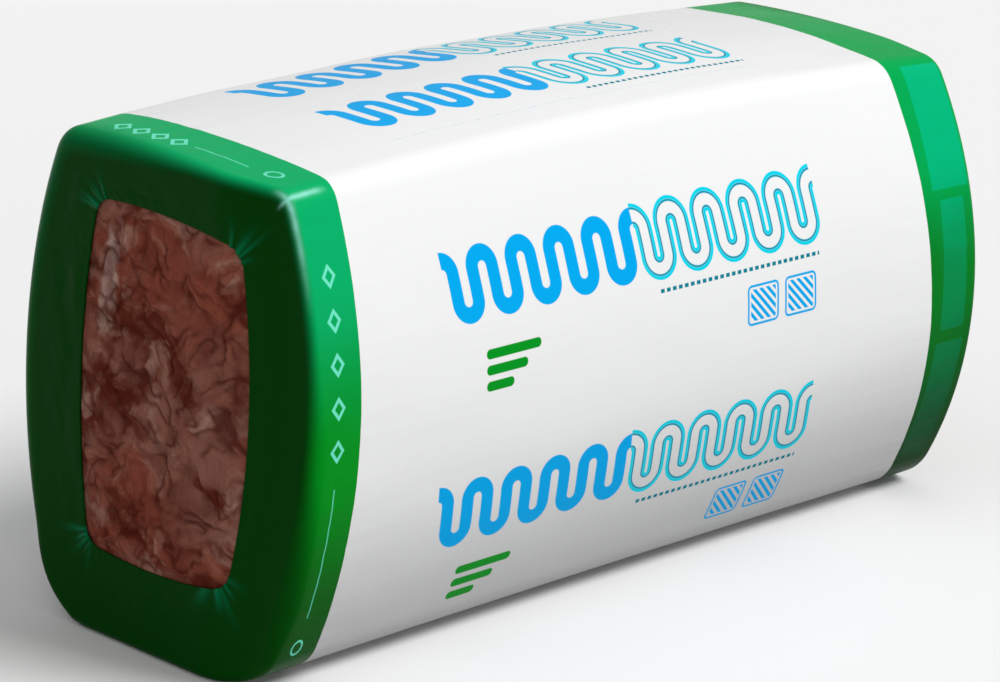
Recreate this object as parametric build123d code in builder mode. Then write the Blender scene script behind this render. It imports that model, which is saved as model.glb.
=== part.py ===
from build123d import *
import os

# Insulation pack: mineral wool slabs on edge, squeezed together and shrink-wrapped in one film
# sleeve that leaves a window at each end. Millimetres.
# X runs along the slabs, Y across the stack, +Z up. The origin is on the floor, under the middle.

# The stack in its wrap
pack_length = 1250.0
corner_width = 390.0
corner_height = 586.0
side_bulge = 70.0
top_bulge = 14.0
belly_drop = 30.0
flat_width = 220.0
corner_radius = 20.0
rim_radius = 14.0

# The film, which stands in for a much thinner one
film_thickness = 1.2
film_clearance = 0.3

# The window at each end, where the film has drawn back from the slab ends
window_width = 256.0
window_height = 428.0
window_side_bow = 27.0
window_end_bow = 10.0
window_corner_radius = 28.0

# The slabs. A parting line stands at a share of the way out: 0 in the middle, 1 at a side
slab_count = 8
slab_gap = 0.3
past_the_side = 1.5
line_reach = 1.2

low_corner = belly_drop
high_corner = belly_drop + corner_height
middle_height = belly_drop + corner_height / 2


def pack_section(inset):
    """The wrapped stack's outline across the slabs: bulged sides, a low crown and a flat belly."""
    half = corner_width / 2
    with BuildSketch(Plane.YZ) as section:
        with BuildLine():
            belly = Line((-flat_width / 2, 0), (flat_width / 2, 0))
            right_turn = TangentArc(belly @ 1, (half, low_corner), tangent=(1, 0))
            right_side = ThreePointArc(
                right_turn @ 1, (half + side_bulge, middle_height), (half, high_corner)
            )
            crown = ThreePointArc(right_side @ 1, (0, high_corner + top_bulge), (-half, high_corner))
            left_side = ThreePointArc(
                crown @ 1, (-half - side_bulge, middle_height), (-half, low_corner)
            )
            TangentArc(belly @ 0, left_side @ 1, tangent=(-1, 0))
        make_face()
        if inset:
            offset(amount=-inset, kind=Kind.INTERSECTION)
        corners = section.vertices().filter_by(lambda corner: corner.Y > low_corner / 2)
        fillet(corners, corner_radius - inset)
    return section.sketch


def film_block(inset):
    """The section run along the slabs, with its two rims rounded over."""
    with BuildPart() as block:
        extrude(pack_section(inset), amount=pack_length / 2 - inset, both=True)
        ends = block.faces().filter_by(Axis.X)
        fillet(ends.edges(), rim_radius - inset)
    return block.part


def wool_block(inset):
    """The section run along the slabs, its end edges bevelled where the film presses them in."""
    with BuildPart() as block:
        extrude(pack_section(inset), amount=pack_length / 2 - inset, both=True)
        ends = block.faces().filter_by(Axis.X)
        chamfer(ends.edges(), rim_radius)
    return block.part


def window_outline():
    """The bowed rectangle that the shrunk film leaves open on an end."""
    half_width = window_width / 2
    low = middle_height - window_height / 2
    high = middle_height + window_height / 2
    with BuildSketch(Plane.YZ) as window:
        with BuildLine():
            sill = ThreePointArc(
                (-half_width, low), (0, low - window_end_bow), (half_width, low)
            )
            right = ThreePointArc(
                sill @ 1, (half_width + window_side_bow, middle_height), (half_width, high)
            )
            head = ThreePointArc(right @ 1, (0, high + window_end_bow), (-half_width, high))
            ThreePointArc(head @ 1, (-half_width - window_side_bow, middle_height), sill @ 0)
        make_face()
        fillet(window.vertices(), window_corner_radius)
    return window.sketch


def parting_line(share, shift):
    """The line between two slabs, a share of the way from the middle to a side and bowed like it."""
    rise = line_reach * corner_height / 2
    tip_place = share * (corner_width / 2 + side_bulge * (1 - line_reach**2)) + shift
    low_tip = (tip_place, middle_height - rise)
    high_tip = (tip_place, middle_height + rise)
    if share == 0:
        return Line(low_tip, high_tip)
    middle_place = share * (corner_width / 2 + side_bulge) + shift
    return ThreePointArc(low_tip, (middle_place, middle_height), high_tip)


def slab_band(first, last):
    """The strip between two parting lines, tall enough to pass the top and the belly."""
    with BuildSketch(Plane.YZ) as band:
        with BuildLine():
            near = parting_line(first, slab_gap / 2)
            far = parting_line(last, -slab_gap / 2)
            Line(near @ 0, far @ 0)
            Line(near @ 1, far @ 1)
        make_face()
    return band.sketch


sleeve_form = film_block(0)
sleeve_bore = film_block(film_thickness)
wool_form = wool_block(film_thickness + film_clearance)

# Film sleeve
with BuildPart() as film_sleeve:
    add(sleeve_form)
    add(sleeve_bore, mode=Mode.SUBTRACT)
    extrude(window_outline(), amount=pack_length, both=True, mode=Mode.SUBTRACT)
film_sleeve.part.label = "film_sleeve"

os.makedirs("parts", exist_ok=True)
export_step(film_sleeve.part, "parts/film_sleeve.step")

# Wool slabs, the outer two swelling out to the film
for index in range(slab_count):
    first = 2 * index / slab_count - 1
    last = 2 * (index + 1) / slab_count - 1
    if index == 0:
        first = -past_the_side
    if index == slab_count - 1:
        last = past_the_side
    with BuildPart() as wool_slab:
        extrude(slab_band(first, last), amount=pack_length / 2, both=True)
        add(wool_form, mode=Mode.INTERSECT)
    wool_slab.part.label = f"wool_slab_{index + 1}"
    export_step(wool_slab.part, f"parts/wool_slab_{index + 1}.step")
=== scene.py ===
import math
from functools import partialmethod

import bpy
import numpy as np
from mathutils import Matrix, Vector


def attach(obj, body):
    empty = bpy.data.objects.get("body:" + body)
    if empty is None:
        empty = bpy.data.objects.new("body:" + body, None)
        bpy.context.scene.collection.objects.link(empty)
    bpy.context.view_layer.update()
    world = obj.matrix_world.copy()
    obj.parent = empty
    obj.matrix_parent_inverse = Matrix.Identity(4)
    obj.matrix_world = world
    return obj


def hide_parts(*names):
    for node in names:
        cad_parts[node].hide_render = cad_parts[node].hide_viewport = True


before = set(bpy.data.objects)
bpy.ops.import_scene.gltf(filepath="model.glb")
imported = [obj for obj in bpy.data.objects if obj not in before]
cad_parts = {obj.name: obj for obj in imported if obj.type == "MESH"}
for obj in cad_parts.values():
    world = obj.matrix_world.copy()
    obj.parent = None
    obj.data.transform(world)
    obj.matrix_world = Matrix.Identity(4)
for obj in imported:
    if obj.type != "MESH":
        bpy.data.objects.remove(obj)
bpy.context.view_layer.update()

# Lengths are in metres. The front is the -Y side and the near end is the -X one. A FADE says where
# something begins and where it is full.

# Sizes of the straight pack, as the solids have them
HALF_LENGTH = 0.625
CORNER_WIDTH = 0.390
CORNER_HEIGHT = 0.586
SIDE_BULGE = 0.070
TOP_BULGE = 0.014
BELLY_DROP = 0.030
FLAT_WIDTH = 0.220
HALF_WIDTH = CORNER_WIDTH / 2
HALF_HEIGHT = CORNER_HEIGHT / 2
MIDDLE = BELLY_DROP + HALF_HEIGHT
HIGH_CORNER = BELLY_DROP + CORNER_HEIGHT
CROWN_HEIGHT = BELLY_DROP + CORNER_HEIGHT + TOP_BULGE

# How far each corner of the section is rounded: low back, high back, high front, low front
CORNER_CUTS = (0.060, 0.030, 0.022, 0.019)

# How widely the film turns over the rims
RIM_CRISP = 0.012
RIM_SOFT = 0.024
RIM_BELLY = 0.012
RIM_FAR = 0.012
CRISP_SIDE = ((-0.12, -0.17), (0.30, 0.44))
CRISP_TOP = ((0.05, -0.15), (0.55, 0.60))
RIM_BELLY_FADE = (0.12, 0.03)

# The window that the shrunk film leaves on each end
WINDOW_WIDTH = 0.256
WINDOW_HEIGHT = 0.428
SIDE_BOW = 0.027
END_BOW = 0.010
WINDOW_CUT = 0.022
WINDOW_SHIFT = (-0.012, 0.008)
WINDOW_PINCH = 0.018
WINDOW_SOFT = 0.015

# How the soft pack has settled. Names with FAR say what is added toward the far end
HEIGHT_TAPER = 0.032
WIDTH_TAPER = -0.006
LEAN = 0.034
SWAY = 0.006
FRONT_SWELL = 0.004
FRONT_SWELL_FAR = 0.008
BACK_SWELL = -0.003
BACK_SWELL_FAR = 0.010
CROWN_SWELL = 0.021
CROWN_SINK = 0.005
CROWN_ROUNDING = 0.3
NEAR_RIM_RECESS = 0.022
FAR_RIM_RECESS = 0.010
RECESS_REACH = 0.13
RECESS_FADE = (0.45, 1.0)

# The wool
SLAB_COUNT = 8
WOOL_STEP = 0.0016
CLEARANCE = 0.007
PARTING_GAP = 0.0002
WALL_RINGS = 7

# The camera that fits the picture: azimuth, elevation and roll in degrees, and its lens
CAMERA_TURNS = (-45.458, 17.574, 2.158)
CAMERA_DISTANCE = 6.596
SENSOR_WIDTH = 36.0
LENS = 183.9888
SHIFT = (-0.014, -0.0323)
CLIP_RANGE = (0.1, 200.0)


# Smooth noise

HASH_FACTORS = (374761393, 668265263, 974634777, 1274126177)
HASH_BITS = 0xFFFFFFFF
HASH_STEPS = 0xFFFF
NOISE_GAIN = 1.5
LAYER_SEED = 17
SEEDS = {"folds": 11, "gathers": 40, "waves": 60, "ripples": 90, "uneven": 5, "ridge_highlight": 71,
         "smear": 150, "torn": 200, "wander": 300}


def hashed(ix, iy, seed):
    """A repeatable number from 0 to 1 for each place."""
    across, up, start, last = HASH_FACTORS
    mixed = (ix * across + iy * up + seed * start) & HASH_BITS
    mixed = ((mixed ^ (mixed >> 13)) * last) & HASH_BITS
    return ((mixed ^ (mixed >> 16)) & HASH_STEPS) / HASH_STEPS


def eased(t):
    """0 to 1 with a level start and end."""
    return t**3 * (t * (6 * t - 15) + 10)


def noise(x, y, seed):
    """Smooth noise of about -1 to 1, with one feature to each unit."""
    ix, iy = np.floor(x).astype(np.int64), np.floor(y).astype(np.int64)
    fx, fy = x - ix, y - iy
    sx, sy = eased(fx), eased(fy)

    def slope(dx, dy):
        turn = 2 * math.pi * hashed(ix + dx, iy + dy, seed)
        return np.cos(turn) * (fx - dx) + np.sin(turn) * (fy - dy)

    low = slope(0, 0) * (1 - sx) + slope(1, 0) * sx
    high = slope(0, 1) * (1 - sx) + slope(1, 1) * sx
    return NOISE_GAIN * (low * (1 - sy) + high * sy)


def layered(x, y, seed, octaves=3):
    """Several sizes of noise added up, each half as large and half as strong as the last."""
    seeds = [seed + LAYER_SEED * k for k in range(octaves)]
    return sum(noise(x * 2**k, y * 2**k, seeds[k]) / 2**k for k in range(octaves))


def fade(low, high, value):
    """0 below low, 1 above high and smooth between. With low above high it falls instead."""
    t = np.clip((value - low) / (high - low), 0, 1)
    return t * t * (3 - 2 * t)


def hump(value, width):
    """1 at 0, falling off on both sides over the width."""
    return np.exp(-((value / width) ** 2))


# Outlines across the slabs, as rows of (y, z)

CORNER_POINTS = 14
TURN_POINTS = 30
SIDE_POINTS = 120
TOP_POINTS = 80


def bowed(start, end, bow, count):
    """Points along an arc from start to end that bows out to its right."""
    start, end = np.array(start, float), np.array(end, float)
    chord = end - start
    span = np.linalg.norm(chord)
    along, out = chord / span, np.array([chord[1], -chord[0]]) / span
    radius = (span * span / 4 + bow * bow) / (2 * bow)
    half_angle = math.asin(span / 2 / radius)
    angle = np.linspace(-half_angle, half_angle, count)[:, None]
    centre = (start + end) / 2 - out * (radius - bow)
    return centre + radius * (np.sin(angle) * along + np.cos(angle) * out)


def turned(start, end, count):
    """Points along an arc that leaves start level and climbs to end."""
    across, up = end[0] - start[0], end[1] - start[1]
    radius = (across * across + up * up) / (2 * up)
    angle = np.linspace(0, math.asin(across / radius), count)
    return np.column_stack([start[0] + radius * np.sin(angle), radius * (1 - np.cos(angle))])


def lengths_along(points):
    """How far along the line each point is."""
    return np.concatenate([[0], np.cumsum(np.linalg.norm(np.diff(points, axis=0), axis=1))])


def points_at(places, along, points):
    """Points of a line at the given lengths along it."""
    return np.column_stack([np.interp(places, along, points[:, k]) for k in range(2)])


def trimmed(side, off_start, off_end):
    """The line without its first and last stretches."""
    along = lengths_along(side)
    first, last = off_start, along[-1] - off_end
    inner = along[(along > first) & (along < last)]
    return points_at(np.concatenate([[first], inner, [last]]), along, side)


def closed_outline(sides, cuts):
    """Four sides joined with rounded corners: points, lengths along, and shares of the corners."""
    parts, corner_indices, total = [], [], 0
    t = np.linspace(0, 1, CORNER_POINTS)[1:-1, None]
    for index, side in enumerate(sides):
        body = trimmed(side, cuts[index - 1], cuts[index])
        after = trimmed(sides[(index + 1) % 4], cuts[index], cuts[index])[0]
        turn = (1 - t) ** 2 * body[-1] + 2 * t * (1 - t) * side[-1] + t * t * after
        parts += [body, turn]
        corner_indices.append(total + len(body) + len(turn) // 2)
        total += len(body) + len(turn)
    start = len(parts[0]) // 2
    loop = np.roll(np.vstack(parts), -start, axis=0)
    along = lengths_along(np.vstack([loop, loop[:1]]))
    shares = [along[index - start] / along[-1] for index in corner_indices]
    return loop, along, shares


def pack_outline():
    """The section: belly, back side, top and front side, begun at the middle of the belly."""
    half, low, high = HALF_WIDTH, BELLY_DROP, HIGH_CORNER
    turn = turned((FLAT_WIDTH / 2, 0), (half, low), TURN_POINTS)
    belly = np.vstack([turn[::-1] * [-1, 1], turn])
    back = bowed((half, low), (half, high), SIDE_BULGE, SIDE_POINTS)
    top = bowed((half, high), (-half, high), TOP_BULGE, TOP_POINTS)
    front = bowed((-half, high), (-half, low), SIDE_BULGE, SIDE_POINTS)
    return closed_outline([belly, back, top, front], CORNER_CUTS)


def window_outline():
    """The window, in the same order. Its front side is a little shorter."""
    half, rise = WINDOW_WIDTH / 2, WINDOW_HEIGHT / 2
    corners = ((-half, -rise), (half, -rise), (half, rise), (-half, rise))
    kinds = ((END_BOW, TOP_POINTS), (SIDE_BOW, SIDE_POINTS)) * 2
    middle = (WINDOW_SHIFT[0], MIDDLE + WINDOW_SHIFT[1])
    sides = []
    for index, (bow, count) in enumerate(kinds):
        y, z = bowed(corners[index], corners[(index + 1) % 4], bow, count).T
        sides.append(np.column_stack([y, z * pinched(y)]) + middle)
    return closed_outline(sides, [WINDOW_CUT] * 4)


def pinched(y):
    """How much of its height the window keeps at a place across it."""
    return 1 + WINDOW_PINCH * np.clip(2 * y / WINDOW_WIDTH, -1, 1)


def spaced(loop, along, shares):
    """Points of a closed line at the given shares of its length."""
    return points_at(np.asarray(shares) * along[-1], along, np.vstack([loop, loop[:1]]))


def outward(loop):
    """Unit normals of a closed line that runs anticlockwise."""
    step = np.roll(loop, -1, axis=0) - np.roll(loop, 1, axis=0)
    step /= np.linalg.norm(step, axis=1)[:, None]
    return np.column_stack([step[:, 1], -step[:, 0]])


def height_level(z):
    """-1 at the height of the low corners, 0 in the middle and 1 at the high ones."""
    return (z - MIDDLE) / HALF_HEIGHT


# The settled shape

def settle(points):
    """Where points of the straight pack lie in the slumped one."""
    x, y, z = points.T
    u = x / HALF_LENGTH
    level = height_level(z)
    swell = np.clip(1 - level**2, 0, 1)
    share = np.clip(y / (HALF_WIDTH + SIDE_BULGE * swell), -1, 1)
    front, back = np.clip(-share, 0, 1), np.clip(share, 0, 1)
    high = np.clip(level, 0, 1) ** 3
    new_y = y * (1 + WIDTH_TAPER * u) + LEAN * u * z + SWAY * (1 - u * u)
    new_y -= front * swell * (FRONT_SWELL + FRONT_SWELL_FAR * u)
    new_y += back * swell * (BACK_SWELL + BACK_SWELL_FAR * u)
    new_z = z * (1 - HEIGHT_TAPER * u)
    new_z += high * (1 - CROWN_ROUNDING * share**2) * CROWN_SWELL * (1 - u * u)
    new_z -= high * (1 - share**2) * CROWN_SINK * u * u
    from_end = HALF_LENGTH - np.abs(x)
    edge = fade(*RECESS_FADE, front) * fade(RECESS_REACH, 0.0, from_end)
    recess = np.where(x < 0, NEAR_RIM_RECESS, FAR_RIM_RECESS)
    new_x = x - np.sign(x) * edge * recess
    return np.column_stack([new_x, new_y, np.maximum(new_z, 0)])


# Meshes

def make_object(name, vertices, faces, uv=None, marks=None):
    """A smooth mesh object, with print coordinates and named values for each point."""
    mesh = bpy.data.meshes.new(name)
    mesh.from_pydata(np.asarray(vertices).tolist(), [], np.asarray(faces).tolist())
    if uv is not None:
        layer = mesh.uv_layers.new(name="print")
        layer.data.foreach_set("uv", np.asarray(uv, np.float32).ravel())
    for label, values in (marks or {}).items():
        attribute = mesh.attributes.new(label, "FLOAT", "POINT")
        attribute.data.foreach_set("value", np.asarray(values, np.float32))
    mesh.polygons.foreach_set("use_smooth", [True] * len(mesh.polygons))
    mesh.update()
    thing = bpy.data.objects.new(name, mesh)
    bpy.context.scene.collection.objects.link(thing)
    return thing


# Film sleeve: points around it, and rows from a window's edge to the pack's middle

AROUND = 560
EVEN_PER_POINT = 8
CROWDING = 1.6
CROWDING_SHARE = 0.032
BEAD_ROWS = 6
COLLAR_ROWS = 34
RIM_ROWS = 12
BODY_ROWS = 34
COLLAR_POWER = 1.2
BODY_CROWDING = 0.35
BEAD_RADIUS = 0.0014
BEAD_ANGLES = (1.30, 0.5)

# The folds that fan out from a window corner: places, random shifts, widths, reaches, strengths
FOLD_PLACES = (-0.013, -0.007, -0.001, 0.005, 0.011)
FOLD_RANGES = ((-0.002, 0.002), (0.0018, 0.0034), (0.014, 0.034), (0.3, 1.0))
FOLD_SPREAD = 0.024
FOLD_WIDENING = 0.05
FOLD_RISE = 0.0030
FOLD_EDGE_RISE = 0.0024
FOLD_SCALLOP = 0.0014

# Small gathers all round the window's edge
GATHER_WIDTH = 0.011
GATHER_REACH = 0.014
GATHER_RISE = 0.0005
GATHER_EDGE_RISE = 0.0004
GATHER_SCALLOP = 0.0005
SCALLOP_RATE = 6

# Wide waves in the collar round the window, and fine ripples behind the rim
WAVE_SIZE = (0.10, 0.05)
WAVE_START = 3.0
WAVE_FADE = (0, 0.3)
WAVE_RISE = 0.0022
RIPPLE_RISE = 0.0007
RIPPLE_REACH = 0.09
RIPPLE_AROUND = 0.024
RIPPLE_ALONG = 4

# The slabs' soft unevenness, pressed through the long faces
UNEVEN_RISE = 0.0014
UNEVEN_SIZE = (0.34, 0.22)
END_FADE = (0.0, 0.12)
FLOOR_FADE = (0.0, 0.06)

# How far over the rim the dark collar colour reaches, as gathered film and as painted shade: on the
# lit side, and more where it stands for shade
LOW_FADE = (0.34, 0.0)
BACK_FADE = (-0.10, 0.20)
GATHERED_SHADE_BACK = 0.9
GATHERED_SHADE_NONE = (0.012, 0.050)
GATHERED_SHADE_FULL = (-0.010, -0.022)

# The painted highlight on the ridge: along the high front corner of the near end, and down its rim
RIDGE_WIDTH = 0.0036
RIDGE_STRENGTH = 1.2
RIDGE_END = (0.085, 0.050)
RIDGE_START = (-0.016, 0.004)
RIDGE_RIM = 0.003
RIDGE_RIM_END = (0.150, 0.0)
RIDGE_RIM_START = (-0.030, 0.0)
BREAK_SIZE = 0.020
BREAK = 0.25


def share_apart(shares, corner):
    """How far apart two places round a closed line are, as a share of it from -0.5 to 0.5."""
    return (shares - corner + 0.5) % 1 - 0.5


def around_shares(corners_at):
    """Places around the sleeve, closer together at its four corners."""
    even = np.linspace(0, 1, AROUND * EVEN_PER_POINT, endpoint=False)
    weight = np.ones_like(even)
    for corner in corners_at:
        weight += CROWDING * hump(share_apart(even, corner), CROWDING_SHARE)
    total = np.concatenate([[0], np.cumsum(weight)])
    wanted = np.linspace(0, total[-1], AROUND, endpoint=False)
    return np.interp(wanted, total, np.append(even, 1.0))


def rim_radii(outer):
    """How widely the film turns over the rim: crisply at the high front corner."""
    y, z = outer.T
    patches = (CRISP_SIDE, CRISP_TOP)
    side, top = (fade(*across, y) * fade(*up, z) for across, up in patches)
    soft = RIM_SOFT + (RIM_BELLY - RIM_SOFT) * fade(*RIM_BELLY_FADE, z)
    return soft + (RIM_CRISP - soft) * np.maximum(side, top)


def pulled_folds(corners_at, seed):
    """The folds at all four corners: corner, place beside it, width, reach and strength."""
    rng = np.random.default_rng(seed)
    folds = []
    for corner in corners_at:
        for place in FOLD_PLACES:
            shift, *sizes = (rng.uniform(*limits) for limits in FOLD_RANGES)
            folds.append((corner, place + shift, *sizes))
    return folds


def fold_height(folds, shares, out, girth):
    """How high the folds stand, 0 to 1, at a share of the way round and a distance out."""
    height = np.zeros_like(shares)
    for corner, place, width, reach, strength in folds:
        away = share_apart(shares, corner) * girth - place * (1 + out / FOLD_SPREAD)
        wide = width * (1 + out / FOLD_WIDENING)
        fold = strength * np.exp(-((away / wide) ** 2) - (out / reach) ** 2)
        height = np.maximum(height, fold)
    return height


class FilmEnd:
    """Half of the sleeve: rows of points from one window's edge over the rim to the middle."""

    def __init__(self, end, shares, outline, window, corners_at, window_girth):
        loop, along = outline
        self.end, self.shares = end, shares
        self.window, self.girth = window, window_girth
        self.place = shares * window_girth
        self.around = shares * along[-1]
        self.outer = spaced(loop, along, shares)
        self.normal = outward(self.outer)
        self.radii = rim_radii(self.outer) if end == 0 else np.full(len(shares), RIM_FAR)
        self.rim = self.outer - self.radii[:, None] * self.normal
        self.gap = np.linalg.norm(self.rim - window, axis=1)
        self.towards = (self.rim - window) / self.gap[:, None]
        self.folds = pulled_folds(corners_at, SEEDS["folds"] + end)
        self.at_edge = fold_height(self.folds, shares, 0.0, window_girth)
        level = np.zeros_like(self.place)
        self.gathers = layered(self.place / GATHER_WIDTH, level, SEEDS["gathers"] + end)
        scallop = GATHER_SCALLOP * self.gathers - FOLD_SCALLOP * self.at_edge
        self.scallop = self.towards * scallop[:, None]
        self.edge = HALF_LENGTH - self.radii + self.radii * math.pi / 2 + self.gap
        self.rows, self.paths, self.marks = [], [], []
        self.add_bead()
        self.add_collar()
        self.add_rim()
        self.add_body()

    def add_row(self, depth, flat, path, fold=0.0):
        """Adds a row: how far from the middle, its outline, the film's length to it, and its folds."""
        depth, path, fold = (part + np.zeros(len(self.shares)) for part in (depth, path, fold))
        self.rows.append(np.column_stack([depth, flat]))
        self.paths.append(path)
        self.marks.append(fold)

    def add_bead(self):
        rise = FOLD_EDGE_RISE * self.at_edge + GATHER_EDGE_RISE * self.gathers
        for angle in np.linspace(*BEAD_ANGLES, BEAD_ROWS + 1)[:-1] * math.pi:
            flat = self.window + self.scallop + self.towards * BEAD_RADIUS * math.cos(angle)
            depth = HALF_LENGTH - BEAD_RADIUS * (1 - math.sin(angle)) + rise
            self.add_row(depth, flat, self.edge, self.at_edge)

    def add_collar(self):
        for t in np.linspace(0, 1, COLLAR_ROWS) ** COLLAR_POWER:
            out = t * self.gap
            fold = fold_height(self.folds, self.shares, out, self.girth)
            gather = self.gathers * np.exp(-out / GATHER_REACH)
            wave_out = out / WAVE_SIZE[1] + WAVE_START
            wave = layered(self.place / WAVE_SIZE[0], wave_out, SEEDS["waves"] + self.end)
            wave = wave * fade(*WAVE_FADE, t) * (1 - t)
            scallop = self.scallop * max(0.0, 1 - SCALLOP_RATE * t)
            flat = self.window + (self.rim - self.window) * t + scallop
            depth = HALF_LENGTH + FOLD_RISE * fold + GATHER_RISE * gather + WAVE_RISE * wave
            self.add_row(depth, flat, self.edge - out, fold)

    def add_rim(self):
        for step in np.linspace(0, 1, RIM_ROWS + 1)[1:]:
            angle = step * math.pi / 2
            flat = self.outer - (self.radii * (1 - math.sin(angle)))[:, None] * self.normal
            path = HALF_LENGTH - self.radii + self.radii * (math.pi / 2 - angle)
            self.add_row(HALF_LENGTH - self.radii * (1 - math.cos(angle)), flat, path)

    def add_body(self):
        behind_rim = HALF_LENGTH - self.radii
        for step in np.linspace(0, 1, BODY_ROWS + 1)[1:]:
            t = step - BODY_CROWDING * math.sin(math.pi * step) / math.pi
            depth = behind_rim * (1 - t)
            dying = np.exp(-(behind_rim - depth) / RIPPLE_REACH)
            around = self.around / RIPPLE_AROUND
            ripple = layered(around, depth * RIPPLE_ALONG, SEEDS["ripples"] + self.end)
            flat = self.outer + self.normal * (RIPPLE_RISE * dying * ripple)[:, None]
            self.add_row(depth, flat, depth)


def film_mesh():
    """The whole sleeve as one surface, with its corners around it and its flat size."""
    loop, along, corners_at = pack_outline()
    window_loop, window_along, window_corners = window_outline()
    girth = along[-1]
    shares = around_shares(corners_at)
    window_shares = np.interp(shares, [0, *corners_at, 1], [0, *window_corners, 1])
    window = spaced(window_loop, window_along, window_shares)
    rows, paths, marks = [], [], []
    for end, sign in ((0, -1), (1, 1)):
        half = FilmEnd(end, shares, (loop, along), window, corners_at, window_along[-1])
        order = slice(None) if end == 0 else slice(-2, None, -1)
        rows += [row * [sign, 1, 1] for row in half.rows][order]
        paths += [sign * path for path in half.paths][order]
        marks += half.marks[order]
    around = np.tile(shares * girth, len(rows))
    points = settle(uneven(np.vstack(rows), around))
    faces, uv = sleeve_faces(np.array(paths), np.append(shares * girth, girth))
    along_film = np.concatenate(paths)
    values = {
        # The folds' height, which also sets their painted highlight
        "fold": np.concatenate(marks),
        # The dark collar mask: gathered film on the ends, and painted shade over the rims low down and
        # at the back
        "gathered_and_shaded": gathered_and_shaded(points, along_film),
        # Painted highlight along the near end's high front corner and down its rim
        "ridge_highlight": ridge_highlight(points, along_film, around - corners_at[2] * girth),
    }
    flat_length = 2 * float(np.mean(paths[-1]))
    return make_object("film", points, faces, uv, values), corners_at, (girth, flat_length)


def gathered_and_shaded(points, paths):
    """How dark the collar is: fully on the ends, where the film has shrunk together and painted shade
    darkens it, less over the rims, where it reaches further low down and at the back as painted shade.
    """
    y, z = points[:, 1], points[:, 2]
    from_end = HALF_LENGTH - np.abs(paths)
    back = GATHERED_SHADE_BACK * fade(*BACK_FADE, y)
    shaded = np.maximum(fade(*LOW_FADE, z), back)
    none = GATHERED_SHADE_NONE[0] + GATHERED_SHADE_NONE[1] * shaded
    full = GATHERED_SHADE_FULL[0] + GATHERED_SHADE_FULL[1] * shaded
    return 1 - fade(0, 1, (from_end - full) / (none - full))


def ridge_highlight(points, paths, past_corner):
    """Where the highlight is painted on the ridge and rim, with past_corner the length of film beyond
    the corner.
    """
    from_end = HALF_LENGTH - np.abs(paths)
    near = points[:, 0] < 0
    spots = layered(past_corner / BREAK_SIZE, from_end / BREAK_SIZE, SEEDS["ridge_highlight"])
    broken = 1 - BREAK + BREAK * spots
    corner = RIDGE_STRENGTH * hump(past_corner, RIDGE_WIDTH)
    corner *= fade(*RIDGE_END, from_end) * fade(*RIDGE_START, from_end)
    rim = hump(from_end - RIDGE_RIM, RIDGE_WIDTH)
    rim *= fade(*RIDGE_RIM_END, past_corner)
    rim *= fade(*RIDGE_RIM_START, past_corner)
    return near * np.clip(np.maximum(corner, rim) * broken, 0, 1)


def sleeve_faces(paths, edges):
    """Four-sided faces between the rows, and their corners' print coordinates."""
    count = len(edges) - 1
    here = np.arange(count)
    sides = ((here, edges[:-1]), ((here + 1) % count, edges[1:]))
    faces, uv = [], []
    for row in range(len(paths) - 1):
        corners = [(row, *sides[0]), (row + 1, *sides[0]), (row + 1, *sides[1]), (row, *sides[1])]
        faces.append(np.column_stack([level * count + column for level, column, _ in corners]))
        places = [np.column_stack([paths[level][column], edge]) for level, column, edge in corners]
        uv.append(np.stack(places, axis=1).reshape(-1, 2))
    return np.vstack(faces), np.vstack(uv)


def uneven(points, around):
    """The long faces with the slabs' soft unevenness pressed through the film."""
    radial = points[:, 1:] - [0, MIDDLE]
    radial = radial / np.maximum(np.linalg.norm(radial, axis=1), 1e-6)[:, None]
    inside = fade(*END_FADE, HALF_LENGTH - np.abs(points[:, 0]))
    off_floor = fade(*FLOOR_FADE, points[:, 2])
    soft = layered(points[:, 0] / UNEVEN_SIZE[0], around / UNEVEN_SIZE[1], SEEDS["uneven"])
    out = points.copy()
    out[:, 1:] += radial * (UNEVEN_RISE * soft * inside * off_floor)[:, None]
    return out


# Wool slabs

FAR_SEED_STEP = 31

# The parting lines wander
WANDER = 0.005
WANDER_SIZE = 0.045
WANDER_SPREAD = 40
WANDER_POWER = 8

# The torn ends: lobes and threads by size, and how far they rise
WARP = 0.022
WARP_SIZE = 0.080
BROAD_SIZE = (0.060, 0.048)
LOBE_SIZE = (0.029, 0.023)
SMALL_SIZE = (0.012, 0.010)
THREAD_SIZE = (0.004, 0.006)
GATE_SIZE = (0.045, 0.036)
BROAD_RISE = 0.0060
LOBE_RISE = 0.0085
LOBE_ROUNDING = 0.04
SMALL_RISE = 0.0016
THREAD_RISE = 0.0006
# Painted shade in the creases between lobes and in the broad hollows: width and strength
CREASE_WIDTH = 0.20
CREASE_SHADE = 0.9
GATE_FADE = (-0.3, 0.4)
HOLLOW_SHADE = 0.6
HOLLOW_FADE = (0.1, -0.8)

# How the wool fills the window and is tucked back behind the film
OPEN_FADE = (-0.004, 0.020)
BULGE_FADE = (0.0, 0.08)
BULGE = 0.004
BACK_OFF = 0.004
TUCK_FADE = (0.0, 0.06)
TUCK = 0.034
TURN_LIMIT = 0.95

# Rows of points: close together behind the window and some way past it
PLAIN_ROWS = 10
CLOSE_BELOW = 0.03
CLOSE_ABOVE = 0.04
SHARP_DEGREES = 75

# The long paler patch: middle (y, z), size, slope and raggedness
SMEAR_MIDDLE = (0.066, 0.475)
SMEAR_SIZE = (0.017, 0.062)
SMEAR_SLOPE = 0.45
SMEAR_FADE = (1.25, 0.2)
SMEAR_RAG = 0.5
SMEAR_RAG_SIZE = (0.018, 0.030)


def parting(share, z, end):
    """Where the line between two slabs stands at each height of one end."""
    place = share * (HALF_WIDTH + SIDE_BULGE * (1 - height_level(z) ** 2))
    line = np.full_like(z, WANDER_SPREAD * share)
    wander = layered(z / WANDER_SIZE, line, SEEDS["wander"] + end) * WANDER
    return place + wander * (1 - share**WANDER_POWER)


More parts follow.
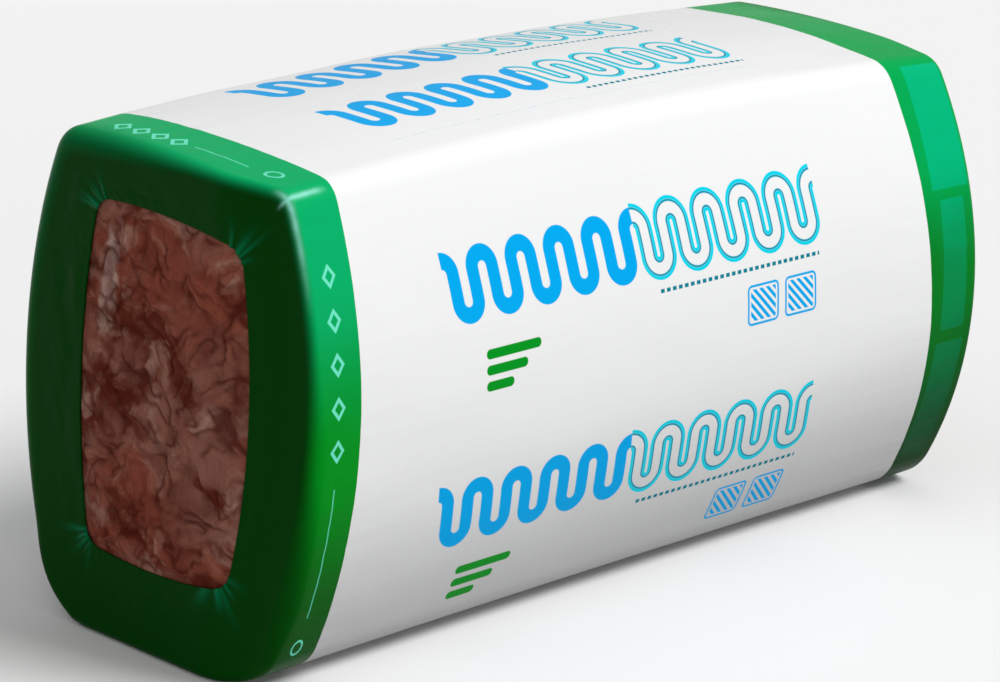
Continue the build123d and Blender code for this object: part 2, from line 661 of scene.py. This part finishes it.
def section_reach(y):
    """The lowest and highest that the wool reaches at a place across the stack."""
    turn_radius = ((HALF_WIDTH - FLAT_WIDTH / 2) ** 2 + BELLY_DROP**2) / (2 * BELLY_DROP)
    past = np.clip(np.abs(y) - FLAT_WIDTH / 2, 0, turn_radius * TURN_LIMIT)
    low = turn_radius - np.sqrt(turn_radius**2 - past**2)
    crown_radius = (HALF_WIDTH**2 + TOP_BULGE**2) / (2 * TOP_BULGE)
    crown = np.sqrt(np.maximum(crown_radius**2 - y**2, 0)) - (crown_radius - TOP_BULGE)
    return low, HIGH_CORNER + crown


def window_depth(y, z):
    """How far a place on an end lies inside the window, below 0 outside it."""
    half, rise = WINDOW_WIDTH / 2, WINDOW_HEIGHT / 2
    y = y - WINDOW_SHIFT[0]
    z = (z - MIDDLE - WINDOW_SHIFT[1]) / pinched(y)
    side = half + SIDE_BOW * (1 - (z / rise) ** 2) - np.abs(y)
    end = rise + END_BOW * (1 - (y / half) ** 2) - np.abs(z)
    nearer = np.exp(-side / WINDOW_SOFT) + np.exp(-end / WINDOW_SOFT)
    return -WINDOW_SOFT * np.log(nearer)


def wool_relief(y, z, seed):
    """Lobes of torn wool: how high each place stands, and how much painted shade it gets in creases
    and hollows.
    """
    warp_y = y + WARP * layered(y / WARP_SIZE, z / WARP_SIZE, seed + 1)
    warp_z = z + WARP * layered(y / WARP_SIZE, z / WARP_SIZE, seed + 2)

    def torn(size, step, octaves):
        return layered(warp_y / size[0], warp_z / size[1], seed + step, octaves)

    broad, lobes = torn(BROAD_SIZE, 3, 2), torn(LOBE_SIZE, 4, 1)
    small, threads = torn(SMALL_SIZE, 5, 3), torn(THREAD_SIZE, 6, 2)
    gate = fade(*GATE_FADE, torn(GATE_SIZE, 7, 1))
    height = BROAD_RISE * broad + LOBE_RISE * np.sqrt(lobes**2 + LOBE_ROUNDING)
    height += SMALL_RISE * small + THREAD_RISE * threads
    # Painted shade in the creases between lobes and in the broad hollows
    crease_shade = CREASE_SHADE * hump(lobes, CREASE_WIDTH) * gate
    crease_shade += HOLLOW_SHADE * fade(*HOLLOW_FADE, broad)
    return height, np.clip(crease_shade, 0, 1)


def pale_smear(points):
    """A long patch of paler wool near the top of the near end."""
    x, y, z = points.T
    across, up = (y - SMEAR_MIDDLE[0]) / SMEAR_SIZE[0], (z - SMEAR_MIDDLE[1]) / SMEAR_SIZE[1]
    ragged = layered(y / SMEAR_RAG_SIZE[0], z / SMEAR_RAG_SIZE[1], SEEDS["smear"])
    away = np.hypot(across + SMEAR_SLOPE * up, up) + SMEAR_RAG * ragged
    return (x < 0) * fade(*SMEAR_FADE, away)


def slab_levels():
    """Shares of the height up a slab, close together behind the window."""
    low = (MIDDLE - WINDOW_HEIGHT / 2 - CLOSE_BELOW) / CROWN_HEIGHT
    high = (MIDDLE + WINDOW_HEIGHT / 2 + CLOSE_ABOVE) / CROWN_HEIGHT
    below = np.linspace(0, low, PLAIN_ROWS)[:-1]
    above = np.linspace(high, 1, PLAIN_ROWS)
    return np.concatenate([below, np.arange(low, high, WOOL_STEP / CROWN_HEIGHT), above])


def slab_side(line, heights, end, inward):
    """Where a slab's side stands beside a parting line. The outermost keep clear of the film."""
    gap = CLEARANCE if line in (0, SLAB_COUNT) else PARTING_GAP
    return parting(2 * line / SLAB_COUNT - 1, heights, end) + inward * gap


def slab_end(index, end):
    """One end of a slab: rows and columns of points, and how much painted shade each gets in creases
    and hollows.
    """
    levels = slab_levels()[:, None]
    columns = int((CORNER_WIDTH + 2 * SIDE_BULGE) / SLAB_COUNT / WOOL_STEP)
    heights = levels * CROWN_HEIGHT
    near, far = slab_side(index, heights, end, 1), slab_side(index + 1, heights, end, -1)
    t = np.linspace(0, 1, columns)
    y = near * (1 - t) + far * t
    low, high = section_reach(y)
    z = low + CLEARANCE + (high - low - 2 * CLEARANCE) * levels
    depth = window_depth(y, z)
    open_here = fade(*OPEN_FADE, depth)
    relief, crease_shade = wool_relief(y, z, SEEDS["torn"] + FAR_SEED_STEP * end)
    out = (relief + BULGE * fade(*BULGE_FADE, depth)) * open_here
    out -= BACK_OFF * (1 - open_here) + TUCK * fade(*TUCK_FADE, -depth)
    points = np.column_stack([(HALF_LENGTH + out).ravel(), y.ravel(), z.ravel()])
    return points, crease_shade.ravel(), y.shape


def slab_faces(grid, ring):
    """Faces of both ends and of the walls between them."""
    corners = [grid[:-1, :-1], grid[1:, :-1], grid[1:, 1:], grid[:-1, 1:]]
    quads = np.stack(corners, axis=-1).reshape(-1, 4)
    first_ring = 2 * grid.size + len(ring) * np.arange(WALL_RINGS)[:, None]
    rings = np.vstack([ring, first_ring + np.arange(len(ring)), ring + grid.size])
    ahead = np.roll(rings, -1, axis=1)
    walls = np.stack([rings[:-1], ahead[:-1], ahead[1:], rings[1:]], axis=-1).reshape(-1, 4)
    return np.vstack([quads, quads[:, ::-1] + grid.size, walls])


def slab_object(index):
    """One slab: two torn ends joined by four plain sides."""
    near, near_crease_shade, shape = slab_end(index, 0)
    far, far_crease_shade, _ = slab_end(index, 1)
    near = near * [-1, 1, 1]
    grid = np.arange(shape[0] * shape[1]).reshape(shape)
    ring = np.concatenate([grid[0, :-1], grid[:-1, -1], grid[-1, :0:-1], grid[:0:-1, 0]])
    steps = np.linspace(0, 1, WALL_RINGS + 2)[1:-1]
    between = [near[ring] * (1 - step) + far[ring] * step for step in steps]
    points = settle(np.vstack([near, far, *between]))
    plain = np.zeros(WALL_RINGS * len(ring))
    # The crease values are painted shade in the wool's creases and hollows
    marks = {"crease_shade": np.concatenate([near_crease_shade, far_crease_shade, plain]), "pale": pale_smear(points)}
    slab = make_object(f"wool_{index + 1}", points, slab_faces(grid, ring), marks=marks)
    slab.data.set_sharp_from_angle(angle=math.radians(SHARP_DEGREES))
    return slab


# Materials

class Nodes:
    """Short ways to make shader nodes in one material."""

    def __init__(self, name):
        self.material = bpy.data.materials.new(name)
        self.material.use_nodes = True
        self.tree = self.material.node_tree
        self.shader = self.tree.nodes["Principled BSDF"]

    def new(self, kind, inputs=None, **settings):
        """A node with its settings made and some of its sockets fed."""
        node = self.tree.nodes.new(kind)
        for key, value in settings.items():
            setattr(node, key, value)
        for key, value in (inputs or {}).items():
            self.feed(node.inputs[key], value)
        return node

    def feed(self, socket, value):
        """Links a socket into this one, or sets it to a number or a colour."""
        if isinstance(value, bpy.types.NodeSocket):
            self.tree.links.new(value, socket)
        else:
            socket.default_value = value

    def shade(self, name, value):
        """Feeds one of the shader's own sockets."""
        self.feed(self.shader.inputs[name], value)

    def calc(self, operation, *values):
        return self.new("ShaderNodeMath", dict(enumerate(values)), operation=operation).outputs[0]

    plus = partialmethod(calc, "ADD")
    minus = partialmethod(calc, "SUBTRACT")
    times = partialmethod(calc, "MULTIPLY")
    scaled = partialmethod(calc, "MULTIPLY_ADD")
    size = partialmethod(calc, "ABSOLUTE")
    larger = partialmethod(calc, "MAXIMUM")
    wrapped = partialmethod(calc, "FLOORED_MODULO")

    def opposite(self, mask):
        """1 where the mask is 0, and 0 where it is 1."""
        return self.minus(1.0, mask)

    def distance(self, across, up):
        """How far a place is from the middle."""
        squares = [self.calc("POWER", value, 2.0) for value in (across, up)]
        return self.calc("SQRT", self.plus(*squares))

    def parts(self, vector):
        """The three numbers of a vector."""
        return tuple(self.new("ShaderNodeSeparateXYZ", {0: vector}).outputs)

    def mix(self, share, first, second):
        """A colour between two, by share."""
        ends = [(*end, 1.0) if isinstance(end, tuple) else end for end in (first, second)]
        inputs = {0: share, 6: ends[0], 7: ends[1]}
        return self.new("ShaderNodeMix", inputs, data_type="RGBA").outputs[2]

    def painted(self, colour, paint, mask, strength):
        """The colour with paint over it where the mask is, at some strength."""
        return self.mix(self.times(mask, strength), colour, paint)

    def ramp(self, value, low, high):
        """0 at low, 1 at high and smooth between."""
        inputs = dict(enumerate((value, low, high, 0.0, 1.0)))
        return self.new("ShaderNodeMapRange", inputs, interpolation_type="SMOOTHSTEP").outputs[0]

    def between(self, value, low, high, edge):
        """1 between two values, with soft edges, and 0 outside them."""
        above = self.ramp(value, low - edge, low + edge)
        below = self.ramp(value, high + edge, high - edge)
        return self.times(above, below)

    def graded(self, value, places, colours):
        """A colour that runs smoothly through three, each at its own place."""
        lower = self.mix(self.ramp(value, places[0], places[1]), colours[0], colours[1])
        return self.mix(self.ramp(value, places[1], places[2]), lower, colours[2])

    def mark(self, name):
        """A value that the mesh carries for each point."""
        return self.new("ShaderNodeAttribute", attribute_name=name).outputs["Fac"]

    def noise(self, vector, scale, detail, roughness=0.55, distortion=0.0, output="Fac"):
        inputs = {"Vector": vector, "Scale": scale, "Detail": detail, "Roughness": roughness,
                  "Distortion": distortion}
        return self.new("ShaderNodeTexNoise", inputs).outputs[output]

    def warped(self, vector, push, reach):
        """The vector, pushed about."""
        inputs = {0: push, 1: reach, 2: vector}
        return self.new("ShaderNodeVectorMath", inputs, operation="MULTIPLY_ADD").outputs[0]

    def stretched(self, vector, scale):
        return self.new("ShaderNodeMapping", {"Vector": vector, "Scale": scale}).outputs[0]

    def bump(self, height, strength, distance, **normal):
        """A bump of that height in metres, laid over another where one is given as Normal."""
        inputs = {"Height": height, "Strength": strength, "Distance": distance, **normal}
        return self.new("ShaderNodeBump", inputs).outputs[0]

    def box(self, x, y, middle_x, middle_y, half_width, half_height, radius):
        """Distance to a rounded rectangle's edge, below 0 inside it."""
        across = self.minus(self.size(self.minus(x, middle_x)), half_width - radius)
        up = self.minus(self.size(self.minus(y, middle_y)), half_height - radius)
        outside = self.distance(self.larger(across, 0.0), self.larger(up, 0.0))
        inside = self.calc("MINIMUM", self.larger(across, up), 0.0)
        return self.minus(self.plus(outside, inside), radius)

    def inked(self, distance, edge=0.0006):
        """1 inside a shape and 0 outside it, with a crisp edge."""
        return self.ramp(distance, edge, -edge)

    def ring(self, distance, place, half_width):
        """1 on a line that keeps a distance from a shape, and 0 elsewhere."""
        return self.inked(self.minus(self.size(self.minus(distance, place)), half_width))

    def either(self, *masks):
        """1 where any of the masks is."""
        result = masks[0]
        for mask in masks[1:]:
            result = self.larger(result, mask)
        return result

    def boxes(self, x, y, boxes):
        """1 inside any of the rounded rectangles."""
        return self.either(*[self.inked(self.box(x, y, *box)) for box in boxes])


# Print colours in linear light. Some stand for painted shade and painted highlights, as marked below
WHITE = (0.86, 0.865, 0.865)
# Painted shade: the white film greys toward the floor and over the belly
WHITE_SHADED_LOW = (0.60, 0.60, 0.60)
WHITE_SHADE_FADE = (0.30, 0.04)
BLUE = (0.0, 0.40, 0.86)
OUTLINE_BLUE = (0.0, 0.32, 0.46)
PALE_BLUE = (0.0, 0.66, 0.82)
LINE_BLUE = (0.0, 0.22, 0.30)
LEAF_GREEN = (0.0, 0.30, 0.015)
# Band greens by height, low to high: painted shade darker toward the floor, painted light toward the
# top
NEAR_SHADED_GREENS = ((0.0, 0.085, 0.001), (0.0, 0.285, 0.013), (0.002, 0.42, 0.135))
NEAR_SHADE_HEIGHTS = (0.05, 0.31, 0.56)
FAR_SHADED_GREENS = ((0.0, 0.045, 0.006), (0.0, 0.20, 0.015), (0.0, 0.38, 0.08))
PANEL_SHADED_GREENS = ((0.0, 0.058, 0.014), (0.0, 0.255, 0.070), (0.0, 0.46, 0.19))
FAR_SHADE_HEIGHTS = (0.03, 0.33, 0.50)
# The collar's dark green: doubled, shrunk film, darkened further as painted shade
COLLAR_AND_SHADE = (0.0, 0.050, 0.001)
# Painted highlight on the folds at the window corners
FOLD_HIGHLIGHT = (0.0, 0.22, 0.085)
# Painted highlight along the near end's high front corner and rim
RIDGE_HIGHLIGHT = (0.30, 0.80, 0.64)
TICK = (0.16, 0.78, 0.55)

# The print's rows on the sides and the top: how tall they are and how far down their middle is
SIDE_ROW = 0.290
SIDE_ROW_MIDDLE = 0.150
TOP_ROW = 0.165
TOP_ROW_MIDDLE = 0.082
TOP_ROW_COUNT = 2
ROW_EDGE = 0.001
FACE_EDGE = 0.0001
BELLY_MARGIN = 0.01

# A box of the print has its middle, half sizes and corner radius. In each row there is a serpentine
# line, solid as far as COIL_CHANGE and outlined after it
COIL_PITCH = 0.034
COIL_REACH = 0.0185
COIL_STROKE = 0.0102
COIL_OUTLINE = 0.0030
COIL_GROUND = 0.0045
COIL_SLANT = 0.13
COIL_CHANGE = -0.034
COIL_BOX = (COIL_CHANGE, 0.0, 0.340, 0.055, 0.001)
COIL_EDGE = 0.0003

# Under it a dashed line
LINE_BOX = (0.150, -0.064, 0.150, 0.0026, 0.0005)
DASH_PITCH = 0.011
DASH_FADE = (0.0072, 0.0066)

# On the sides, two framed squares with a hatch, and three bars
SQUARES = ((0.190, -0.112, 0.030, 0.027, 0.008), (0.262, -0.112, 0.030, 0.027, 0.008))
SQUARE_LINE = 0.0016
HATCH_PITCH = 0.0125
HATCH_FADE = (0.0072, 0.0064)
HATCH_MARGIN = 0.006
BARS = (
    (-0.265, -0.088, 0.048, 0.0062, 0.0060),
    (-0.277, -0.108, 0.036, 0.0062, 0.0060),
    (-0.289, -0.128, 0.024, 0.0062, 0.0060),
)

# The bands' widths from the ends. The far one leans
NEAR_BAND = 0.094
FAR_BAND = 0.105
FAR_BAND_TILT = 0.066
FAR_FADE = (-0.01, 0.01)

# Marks on the near band's front and top: where they start past the face's corner, how many diamonds
# and how far apart, where the thin line's middle is and half its length, and where the ring is
FRONT_TICKS = (0.100, 5, 0.052, 0.3425, 0.0875, 0.475)
TOP_TICKS = (0.070, 4, 0.034, 0.1775, 0.0475, 0.262)
TICK_MIDDLE = 0.045
DIAMOND = (0.0115, 0.0034)
RING = (0.0105, 0.0018)
TICK_LINE = 0.0013
TICK_ROUNDING = 0.0008
TICK_STRENGTH = 0.7

# Paler panels down the front of the far band
FAR_PANELS = (
    (0.052, 0.085, 0.040, 0.084, 0.003),
    (0.052, 0.275, 0.026, 0.092, 0.003),
    (0.052, 0.480, 0.030, 0.094, 0.003),
)

# How cloudy the greens are
CLOUD = (9.0, 3.0)
CLOUD_REACH = 0.10

# The film's gloss, and the fine grain and drawn lines in its surface
FILM_SPECULAR = 0.03
FILM_ROUGHNESS = 0.22
GRAIN_ROUGHNESS = 0.14
GRAIN = (170.0, 3.0, 0.6)
GRAIN_BUMP = (0.08, 0.0006)
DRAWN_STRETCH = (2.5, 55.0, 1.0)
DRAWN = (1.5, 4.0, 0.6)
DRAWN_BUMP = (0.16, 0.002)


def coil(net, x, y):
    """Distance to a serpentine line that runs along x, its bends up and down by turns."""
    cell = net.calc("FLOOR", net.calc("DIVIDE", x, COIL_PITCH))
    centre = net.times(net.plus(cell, 0.5), COIL_PITCH)
    odd = net.calc("PINGPONG", cell, 1.0)
    flip = net.scaled(odd, -2.0, 1.0)
    side = net.calc("SIGN", net.times(y, flip))
    across = net.times(net.minus(x, centre), side)
    beyond = net.larger(net.minus(net.size(y), COIL_REACH), 0.0)
    radius = net.distance(net.minus(across, COIL_PITCH / 2), beyond)
    return net.size(net.minus(radius, COIL_PITCH / 2))


def face_coordinates(net, x, v, corners):
    """Where a place lies in its row on the front, top or back: x, y upwards, and 1 on the top."""
    on_top = net.between(v, corners[1], corners[2], FACE_EDGE)
    on_front = net.ramp(v, corners[2] - FACE_EDGE, corners[2] + FACE_EDGE)
    front_down = net.times(net.minus(v, corners[2]), on_front)
    back_down = net.times(net.minus(corners[1], v), net.opposite(on_front))
    side_down = net.wrapped(net.plus(front_down, back_down), SIDE_ROW)
    side_y = net.minus(SIDE_ROW_MIDDLE, side_down)
    top_down = net.minus(v, corners[1])
    top_y = net.minus(TOP_ROW_MIDDLE, net.wrapped(top_down, TOP_ROW))
    rows_end = TOP_ROW_COUNT * TOP_ROW
    past_rows = net.times(net.ramp(top_down, rows_end, rows_end + ROW_EDGE), TOP_ROW)
    top_y = net.minus(top_y, past_rows)
    to_top = net.times(net.minus(top_y, side_y), on_top)
    facing = net.scaled(net.either(on_top, on_front), 2.0, -1.0)
    return net.times(x, facing), net.plus(side_y, to_top), on_top


def coil_marks(net, x, y):
    """The serpentine's solid half, and its outline and pale ground in the other half."""
    slanted = net.scaled(y, COIL_SLANT, x)
    line = coil(net, slanted, y)
    box = net.inked(net.box(slanted, y, *COIL_BOX), COIL_EDGE)
    left = net.inked(net.minus(slanted, COIL_CHANGE), COIL_EDGE)
    widths = (COIL_STROKE, COIL_STROKE - COIL_OUTLINE, COIL_STROKE + COIL_GROUND)
    stroke, core, ground = (net.inked(net.minus(line, width)) for width in widths)
    solid = net.times(net.times(stroke, left), box)
    right_box = net.times(net.opposite(left), box)
    outlined = net.times(net.minus(stroke, core), right_box)
    pale = net.times(net.minus(ground, stroke), right_box)
    return solid, outlined, pale


def square_marks(net, x, y):
    """Two framed squares with a slanting hatch."""
    masks = []
    for square in SQUARES:
        outer = net.box(x, y, *square)
        border = net.ring(outer, -SQUARE_LINE, SQUARE_LINE)
        slanted = net.minus(net.plus(x, y), square[0] + square[1])
        hatch = net.ramp(net.wrapped(slanted, HATCH_PITCH), *HATCH_FADE)
        masks += [border, net.times(hatch, net.inked(net.plus(outer, HATCH_MARGIN)))]
    return net.either(*masks)


def printed(net, x, v, height, corners):
    """The white film and its print, greyed toward the floor by painted shade."""
    x, y, on_top = face_coordinates(net, x, v, corners)
    off_top = net.opposite(on_top)
    solid, outlined, pale = coil_marks(net, x, y)
    dash = net.ramp(net.wrapped(x, DASH_PITCH), *DASH_FADE)
    inks = (
        (solid, BLUE),
        (outlined, OUTLINE_BLUE),
        (pale, PALE_BLUE),
        (net.times(net.boxes(x, y, [LINE_BOX]), dash), LINE_BLUE),
        (net.times(square_marks(net, x, y), off_top), BLUE),
        (net.times(net.boxes(x, y, BARS), off_top), LEAF_GREEN),
    )
    off_belly = net.between(v, corners[0] + BELLY_MARGIN, corners[3] - BELLY_MARGIN, ROW_EDGE)
    # Painted shade: the white darkens toward the floor
    colour = net.mix(net.ramp(height, *WHITE_SHADE_FADE), WHITE, WHITE_SHADED_LOW)
    for ink, ink_colour in inks:
        colour = net.painted(colour, ink_colour, ink, off_belly)
    return colour


def face_ticks(net, centred, down, layout):
    """Diamonds, a thin line and a ring along one face of the near band."""
    count, step, line_at, half_line, ring_at = layout
    masks = []
    for k in range(count):
        along = net.minus(down, k * step)
        diamond = net.plus(net.size(centred), net.size(along))
        masks.append(net.ring(diamond, *DIAMOND))
    line = (0.0, line_at, TICK_LINE, half_line, TICK_ROUNDING)
    masks.append(net.times(net.boxes(centred, down, [line]), TICK_STRENGTH))
    radius = net.distance(centred, net.minus(down, ring_at))
    masks.append(net.ring(radius, *RING))
    return masks


def band_ticks(net, from_end, v, corners):
    """Light marks on the near band's front and top."""
    centred = net.minus(from_end, TICK_MIDDLE)
    masks = []
    for corner, (start, *layout) in ((corners[2], FRONT_TICKS), (corners[1], TOP_TICKS)):
        masks += face_ticks(net, centred, net.minus(v, corner + start), layout)
    return net.either(*masks)


def band_edge(net, from_end, height, far):
    """1 on the green bands. The far one is wider, and leans with height."""
    lean = net.times(net.minus(MIDDLE, height), FAR_BAND_TILT)
    far_edge = net.minus(FAR_BAND, net.times(lean, far))
    edge = net.plus(NEAR_BAND, net.times(far, net.minus(far_edge, NEAR_BAND)))
    return net.inked(net.minus(from_end, edge))


def greens(net, solid, from_end, v, height, far, corners):
    """The bands' green: painted shade deeper toward the floor and painted light toward the top, dark
    on the collar as gathered film and painted shade, with painted highlights on the folds and the
    ridge.
    """
    cloud = net.noise(solid, *CLOUD)
    cloudy = net.scaled(cloud, CLOUD_REACH, height)
    level = net.minus(cloudy, CLOUD_REACH / 2)
    # Painted shade and painted light: the greens darken toward the floor and lighten toward the top
    near_green = net.graded(level, NEAR_SHADE_HEIGHTS, NEAR_SHADED_GREENS)
    far_green = net.graded(level, FAR_SHADE_HEIGHTS, FAR_SHADED_GREENS)
    panel_green = net.graded(level, FAR_SHADE_HEIGHTS, PANEL_SHADED_GREENS)
    panels = net.boxes(from_end, net.minus(v, corners[2]), FAR_PANELS)
    far_green = net.mix(panels, far_green, panel_green)
    green = net.mix(far, near_green, far_green)
    green = net.painted(green, TICK, band_ticks(net, from_end, v, corners), net.opposite(far))
    # Laid over the greens: the dark collar (gathered film and painted shade), the folds' painted
    # highlight and the ridge's painted highlight
    for name, colour in (("gathered_and_shaded", COLLAR_AND_SHADE), ("fold", FOLD_HIGHLIGHT), ("ridge_highlight", RIDGE_HIGHLIGHT)):
        green = net.mix(net.mark(name), green, colour)
    return green


def film_material(corners_at, girth):
    """White shrink film with green ends, generic print, painted shade and painted highlights, and a
    soft gloss.
    """
    net = Nodes("film")
    place = net.new("ShaderNodeUVMap", uv_map="print").outputs[0]
    x, v, _ = net.parts(place)
    solid = net.new("ShaderNodeTexCoord").outputs["Object"]
    height = net.parts(solid)[2]
    corners = [share * girth for share in corners_at]
    from_end = net.minus(HALF_LENGTH, net.size(x))
    far = net.ramp(x, *FAR_FADE)
    band = band_edge(net, from_end, height, far)
    white = printed(net, x, v, height, corners)
    green = greens(net, solid, from_end, v, height, far, corners)
    net.shade("Base Color", net.mix(band, white, green))

    grain = net.noise(solid, *GRAIN)
    drawn = net.noise(net.stretched(place, DRAWN_STRETCH), *DRAWN)
    roughness = net.scaled(grain, GRAIN_ROUGHNESS, FILM_ROUGHNESS)
    net.shade("Roughness", roughness)
    lined = net.bump(drawn, *DRAWN_BUMP)
    net.shade("Normal", net.bump(grain, *GRAIN_BUMP, Normal=lined))
    net.shade("Specular IOR Level", FILM_SPECULAR)
    return net.material


# The wool's two browns, and the colours laid over them in turn, in linear light: the noise or the
# mesh's own value that each lies in, where it begins and is full in the noise, and its strength
WOOL_BROWNS = ((0.290, 0.074, 0.046), (0.320, 0.132, 0.098))
BROWN_FADE = (0.40, 0.62)
WOOL_PAINTS = (
    ("deep", (0.140, 0.026, 0.015), (0.56, 0.38), 1.0),
    ("tuft", (0.42, 0.175, 0.115), (0.48, 0.72), 0.60),
    ("streak", (0.52, 0.29, 0.225), (0.53, 0.72), 0.80),
    ("pale", (0.60, 0.42, 0.35), None, 0.90),
    # painted shade in the creases and hollows of the torn ends
    ("crease_shade", (0.080, 0.011, 0.006), None, 0.78),
    ("fibre", (0.090, 0.022, 0.014), (0.56, 0.32), 0.22),
)

# The noises: scale, detail, and what else isn't plain
WARP_NOISE = (11.0, 3.0, 0.5, 0.0, "Color")
WARP_REACH = (0.09, 0.12, 0.14)
WOOL_STRETCH = (1.0, 0.85, 1.2)
WOOL_NOISES = {
    "brown": (6.0, 2.0, 0.5),
    "deep": (11.0, 3.0),
    "tuft": (28.0, 4.0, 0.6),
    "streak": (17.0, 3.0),
}
FIBRE_STRETCH = (1.0, 3.2, 0.6)
FIBRE_NOISE = (240.0, 4.0, 0.7, 0.6)
WOOL_ROUGHNESS = 1.0
WOOL_SPECULAR = 0.03
TUFT_BUMP = (0.5, 0.004)
FIBRE_BUMP = (0.45, 0.0010)


def wool_material():
    """Brown mineral wool: lobes, pale streaks, painted shade in its creases and hollows, and fine
    fibre.
    """
    net = Nodes("wool")
    solid = net.new("ShaderNodeTexCoord").outputs["Object"]
    place = net.warped(solid, net.noise(solid, *WARP_NOISE), WARP_REACH)
    flatter = net.stretched(place, WOOL_STRETCH)
    spots = {name: net.noise(flatter, *sizes) for name, sizes in WOOL_NOISES.items()}
    spots["fibre"] = net.noise(net.stretched(place, FIBRE_STRETCH), *FIBRE_NOISE)
    colour = net.mix(net.ramp(spots["brown"], *BROWN_FADE), *WOOL_BROWNS)
    for name, paint, limits, strength in WOOL_PAINTS:
        mask = net.ramp(spots[name], *limits) if limits else net.mark(name)
        colour = net.painted(colour, paint, mask, strength)
    net.shade("Base Color", colour)
    net.shade("Roughness", WOOL_ROUGHNESS)
    net.shade("Specular IOR Level", WOOL_SPECULAR)
    tufted = net.bump(spots["tuft"], *TUFT_BUMP)
    net.shade("Normal", net.bump(spots["fibre"], *FIBRE_BUMP, Normal=tufted))
    return net.material


# Floor, lights and camera

FLOOR_SIZE = 60.0
FLOOR_SEEN = (0.93, 0.93, 0.93)
FLOOR_BOUNCE = (0.42, 0.42, 0.42)
FLOOR_ROUGHNESS = 0.8
WORLD_COLOUR = (1.0, 1.0, 1.0, 1.0)
WORLD_STRENGTH = 0.42

# Each sun: where it shines from, its strength and its spread in degrees
KEY_SUN = ((0.34, -0.60, 0.80), 2.2, 26)
FILL_SUN = ((-0.50, -0.80, 0.30), 0.35, 12)


def make_floor():
    """A pale floor that keeps the pack's shadow and throws little light up at it."""
    half = FLOOR_SIZE / 2
    corners = [(-half, -half, 0), (half, -half, 0), (half, half, 0), (-half, half, 0)]
    floor = make_object("floor", corners, [(0, 1, 2, 3)])
    net = Nodes("floor")
    rays = net.new("ShaderNodeLightPath").outputs
    seen = net.either(rays["Is Camera Ray"], rays["Is Glossy Ray"], rays["Is Transmission Ray"])
    net.shade("Base Color", net.mix(seen, FLOOR_BOUNCE, FLOOR_SEEN))
    net.shade("Roughness", FLOOR_ROUGHNESS)
    floor.data.materials.append(net.material)


def make_sun(name, direction, strength, spread_degrees):
    """A soft sun that shines from a direction."""
    data = bpy.data.lights.new(name, "SUN")
    data.energy = strength
    data.angle = math.radians(spread_degrees)
    lamp = bpy.data.objects.new(name, data)
    bpy.context.scene.collection.objects.link(lamp)
    lamp.rotation_mode = "QUATERNION"
    lamp.rotation_quaternion = Vector(direction).to_track_quat("Z", "Y")


def make_world():
    """Even white light from all round."""
    world = bpy.data.worlds.new("studio")
    world.use_nodes = True
    background = world.node_tree.nodes["Background"]
    background.inputs["Color"].default_value = WORLD_COLOUR
    background.inputs["Strength"].default_value = WORLD_STRENGTH
    bpy.context.scene.world = world


def make_camera():
    """The camera that fits the picture, aimed at the pack's middle height."""
    data = bpy.data.cameras.new("camera")
    data.sensor_fit = "HORIZONTAL"
    data.sensor_width = SENSOR_WIDTH
    data.lens = LENS
    data.shift_x, data.shift_y = SHIFT
    data.clip_start, data.clip_end = CLIP_RANGE
    camera = bpy.data.objects.new("camera", data)
    bpy.context.scene.collection.objects.link(camera)
    azimuth, elevation, roll = (math.radians(turn) for turn in CAMERA_TURNS)
    camera.matrix_world = (
        Matrix.Translation((0, 0, MIDDLE))
        @ Matrix.Rotation(azimuth, 4, "Z")
        @ Matrix.Rotation(math.pi / 2 - elevation, 4, "X")
        @ Matrix.Rotation(roll, 4, "Z")
        @ Matrix.Translation((0, 0, CAMERA_DISTANCE))
    )
    bpy.context.scene.camera = camera


# Build it all

film, film_corners, film_size = film_mesh()
film.data.materials.append(film_material(film_corners, film_size[0]))
wool = wool_material()
slabs = [slab_object(index) for index in range(SLAB_COUNT)]

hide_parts("film_sleeve")
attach(film, "root")
for index, slab in enumerate(slabs):
    slab.data.materials.append(wool)
    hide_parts(f"wool_slab_{index + 1}")
    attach(slab, "root")

make_floor()
make_world()
make_sun("key", *KEY_SUN)
make_sun("fill", *FILL_SUN)
make_camera()
bpy.context.scene.view_settings.view_transform = "Standard"
